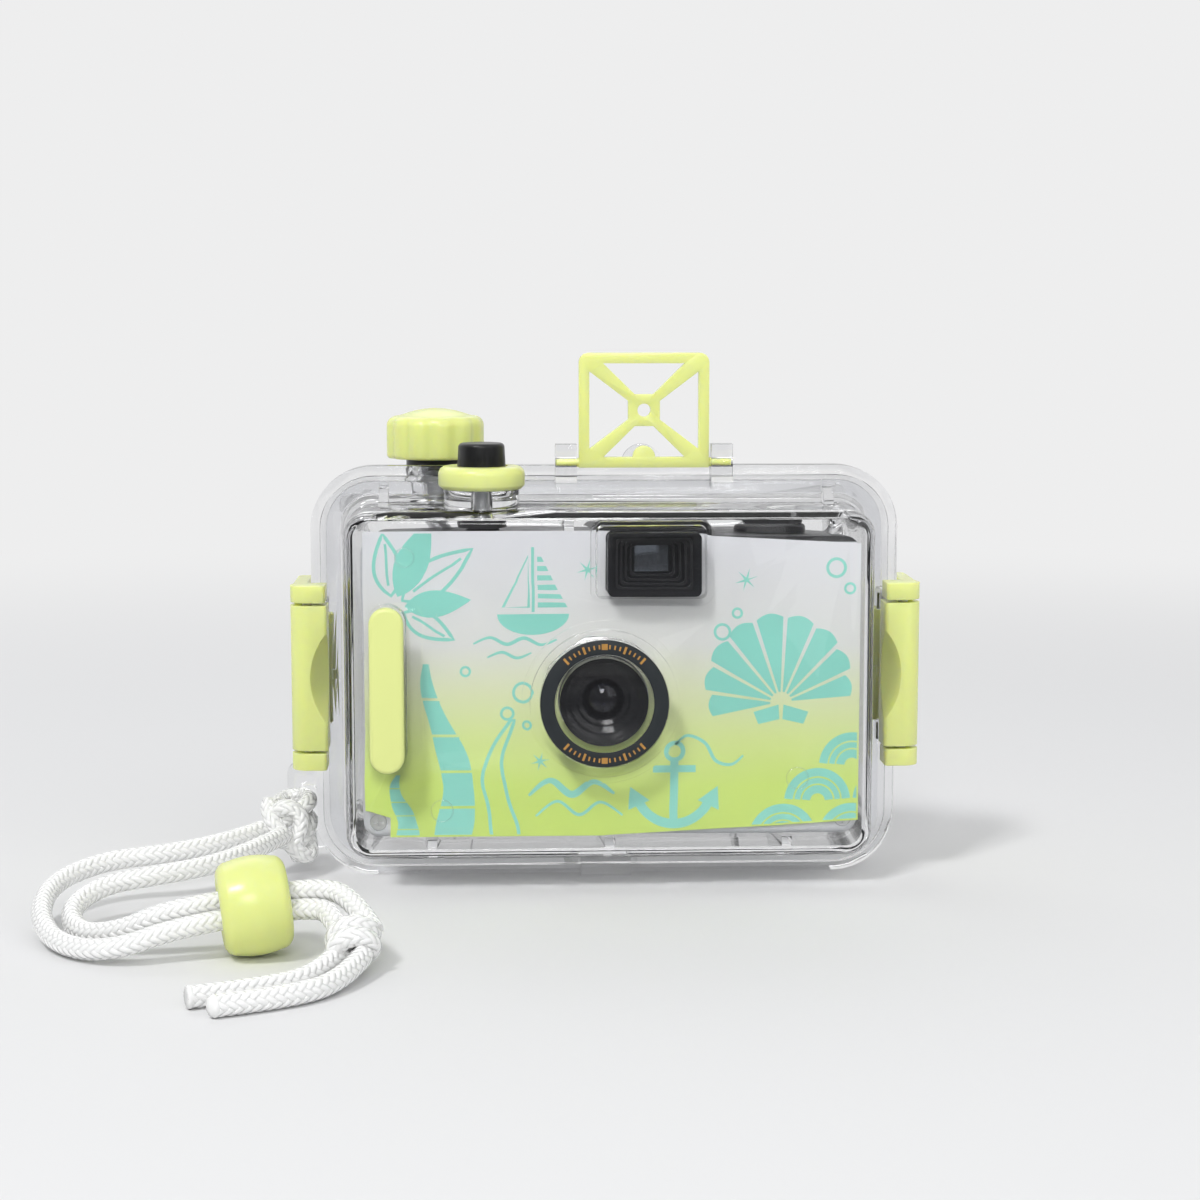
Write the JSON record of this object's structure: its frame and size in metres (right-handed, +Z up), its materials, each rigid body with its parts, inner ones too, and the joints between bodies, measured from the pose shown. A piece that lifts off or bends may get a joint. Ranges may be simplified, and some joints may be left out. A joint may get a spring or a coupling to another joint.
{
  "type": "underwater camera",
  "caption": "Clear two-shell underwater case with yellow latches, wind knob and folding finder, round a simple printed film camera, with a braided hand cord.",
  "frame": {"origin": "on the floor that the case stands on, below the middle of the plane where the two shells meet", "axes": "+X towards the right seen from the front, -Y out of the lens, +Z up"},
  "size_m": [0.177, 0.1278, 0.1093],
  "materials": {
    "clear_plastic": "clear moulded polycarbonate, polished",
    "silicone": "translucent white silicone",
    "yellow_plastic": "lime-yellow moulded plastic, soft gloss",
    "yellow_soft": "lime-yellow soft plastic, smooth",
    "black_print": "printed ring, black with gold figures",
    "black_plastic": "black moulded plastic, fine grain",
    "grey_plastic": "pale grey moulded plastic",
    "white_acetal": "white acetal, as moulded",
    "steel": "stainless steel",
    "printed_sheet": "printed sheet, glossy",
    "lens_glass": "coated optical glass",
    "window_plastic": "clear moulded window",
    "cord_braid": "white braided cord"
  },
  "bodies": {
    "case": {"front_shell": "clear_plastic", "back_shell": "clear_plastic", "seal_ring": "silicone", "button_seal": "silicone", "knob_seal": "silicone", "button_guard_ring": "yellow_plastic", "grip_pad": "yellow_soft", "lens_trim_ring": "black_print", "knob_washer": "black_plastic", "camera_back_door": "black_plastic", "camera_top_cover": "black_plastic", "camera_chassis": "black_plastic", "lens_barrel": "black_plastic", "shutter_plate": "black_plastic", "viewfinder_bezel": "black_plastic", "eyepiece_frame": "black_plastic", "camera_front_cover": "grey_plastic", "button_spring": "steel", "cover_screws": "steel", "latch_hinge_pin_left": "steel", "latch_hinge_pin_right": "steel", "release_spring": "steel", "pressure_spring": "steel", "pressure_plate": "steel", "printed_sleeve": "printed_sheet", "front_element": "lens_glass", "rear_element": "lens_glass", "viewfinder_window": "window_plastic", "eyepiece_lens": "window_plastic", "film_window_pane": "window_plastic", "cord_strand_outer": "cord_braid", "cord_strand_inner": "cord_braid", "cord_tail_back": "cord_braid", "cord_tail_front": "cord_braid", "cord_hitch": "cord_braid", "cord_knot": "cord_braid"},
    "finder": {"finder_frame": "yellow_plastic"},
    "knob": {"wind_knob": "yellow_plastic", "knob_shaft": "steel", "knob_clip": "steel", "drive_gear": "white_acetal"},
    "advance": {"advance_wheel": "white_acetal", "takeup_spool": "black_plastic"},
    "sprocket": {"film_sprocket": "black_plastic"},
    "button": {"button_cap": "black_plastic", "button_stem": "steel", "button_foot": "black_plastic"},
    "release": {"release_button": "black_plastic"},
    "shutter": {"shutter_blade": "steel"},
    "rewind": {"rewind_knob": "black_plastic", "rewind_shaft": "black_plastic"},
    "yoke_left": {"latch_yoke_left": "yellow_plastic", "latch_lever_pin_left": "steel"},
    "lever_left": {"latch_lever_left": "yellow_plastic"},
    "yoke_right": {"latch_yoke_right": "yellow_plastic", "latch_lever_pin_right": "steel"},
    "lever_right": {"latch_lever_right": "yellow_plastic"},
    "bead": {"cord_bead": "yellow_plastic"}
  },
  "joints": [
    {"name": "finder_fold", "type": "hinge", "parent": "case", "child": "finder", "pos_m": [0.00765, -0.0062, 0.08695], "axis": [1, 0, 0], "range_deg": [0, 110]},
    {"name": "knob_turn", "type": "hinge", "parent": "case", "child": "knob", "pos_m": [-0.0354, 0.012, 0.091], "axis": [0, 0, 1], "continuous": true},
    {"name": "advance_turn", "type": "hinge", "parent": "case", "child": "advance", "pos_m": [-0.0384, -0.00003, 0.042], "axis": [0, 0, 1], "continuous": true},
    {"name": "sprocket_turn", "type": "hinge", "parent": "case", "child": "sprocket", "pos_m": [-0.025, -0.00155, 0.04], "axis": [0, 0, 1], "continuous": true},
    {"name": "button_press", "type": "slide", "parent": "case", "child": "button", "axis": [0, 0, -1], "range_m": [0, 0.0015], "stiffness_N_per_m": 400, "springref_m": -0.001, "deforming": ["button_spring"]},
    {"name": "release_press", "type": "slide", "parent": "case", "child": "release", "axis": [0, 0, -1], "range_m": [0, 0.0015], "stiffness_N_per_m": 150, "springref_m": -0.0005, "deforming": ["release_spring"]},
    {"name": "shutter_swing", "type": "hinge", "parent": "case", "child": "shutter", "pos_m": [0.0051, -0.0133, 0.0358], "axis": [0, 1, 0], "range_deg": [0, 38]},
    {"name": "rewind_turn", "type": "hinge", "parent": "case", "child": "rewind", "pos_m": [0.0335, -0.0056, 0.074], "axis": [0, 0, 1], "continuous": true},
    {"name": "yoke_left_swing", "type": "hinge", "parent": "case", "child": "yoke_left", "pos_m": [-0.0592, 0.0074, 0.043], "axis": [0, 0, -1], "range_deg": [0, 90]},
    {"name": "lever_left_swing", "type": "hinge", "parent": "yoke_left", "child": "lever_left", "pos_m": [-0.0615, -0.0072, 0.043], "axis": [0, 0, -1], "range_deg": [0, 110]},
    {"name": "yoke_right_swing", "type": "hinge", "parent": "case", "child": "yoke_right", "pos_m": [0.0592, 0.0074, 0.043], "axis": [0, 0, 1], "range_deg": [0, 90]},
    {"name": "lever_right_swing", "type": "hinge", "parent": "yoke_right", "child": "lever_right", "pos_m": [0.0615, -0.0072, 0.043], "axis": [0, 0, 1], "range_deg": [0, 110]},
    {"name": "bead_slide", "type": "slide", "parent": "case", "child": "bead", "axis": [0.9794, 0.1727, 0.1045], "range_m": [-0.0025, 0.0025]}
  ],
  "couplings": [
    {"joint": "advance_turn", "follows": "knob_turn", "ratio": -0.47619},
    {"joint": "sprocket_turn", "follows": "knob_turn", "ratio": -0.35419},
    {"joint": "release_press", "follows": "button_press", "ratio": 1},
    {"joint": "shutter_swing", "follows": "button_press", "rad_per_m": 441.71}
  ]
}
